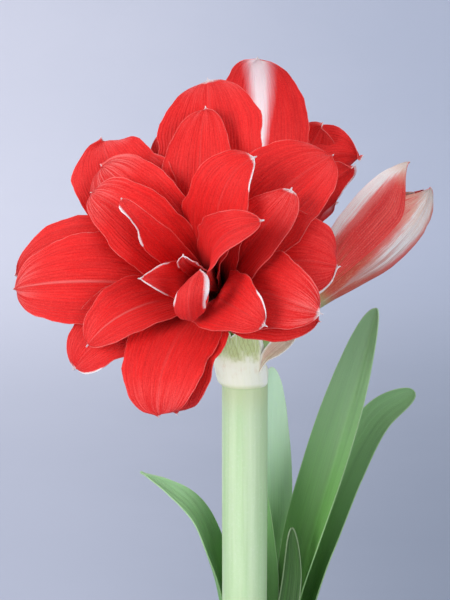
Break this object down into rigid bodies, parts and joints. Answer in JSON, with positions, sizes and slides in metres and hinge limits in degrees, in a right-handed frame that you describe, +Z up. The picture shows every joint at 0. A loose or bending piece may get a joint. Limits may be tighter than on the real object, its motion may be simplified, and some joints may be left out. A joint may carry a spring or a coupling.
{
  "type": "potted double amaryllis",
  "caption": "Potted amaryllis bulb with a stout scape, double red white-tipped blooms, a half-open bud and strap leaves.",
  "frame": {"origin": "middle of the pot's foot, on the surface that the pot stands on", "axes": "+Z up along the pot's axis; the front bloom faces -Y and the bud leans towards +X"},
  "size_m": [0.2368, 0.2657, 0.5794],
  "materials": {
    "clay": "matt terracotta",
    "compost": "dark crumbly potting compost",
    "tunic": "dry papery brown tunic",
    "stalk": "pale green with a waxy bloom",
    "spathe": "dry, netted, papery",
    "flower_stalk": "smooth green",
    "petal": "satin red petals with white tips and edges",
    "bud_petal": "satin, pink-white outside with a red margin",
    "leaf": "smooth green with a satin sheen"
  },
  "bodies": {
    "root": {"pot": "clay", "compost": "compost", "bulb": "tunic", "scape": "stalk", "spathe_front": "spathe", "spathe_side": "spathe", "pedicel_front": "flower_stalk", "pedicel_back": "flower_stalk", "pedicel_bud": "flower_stalk", "bloom_front": "petal", "bloom_back": "petal", "bud": "bud_petal", "leaf_left": "leaf", "leaf_back": "leaf", "leaf_hidden": "leaf", "leaf_young": "leaf", "leaf_right": "leaf", "leaf_right_back": "leaf"}
  },
  "joints": []
}
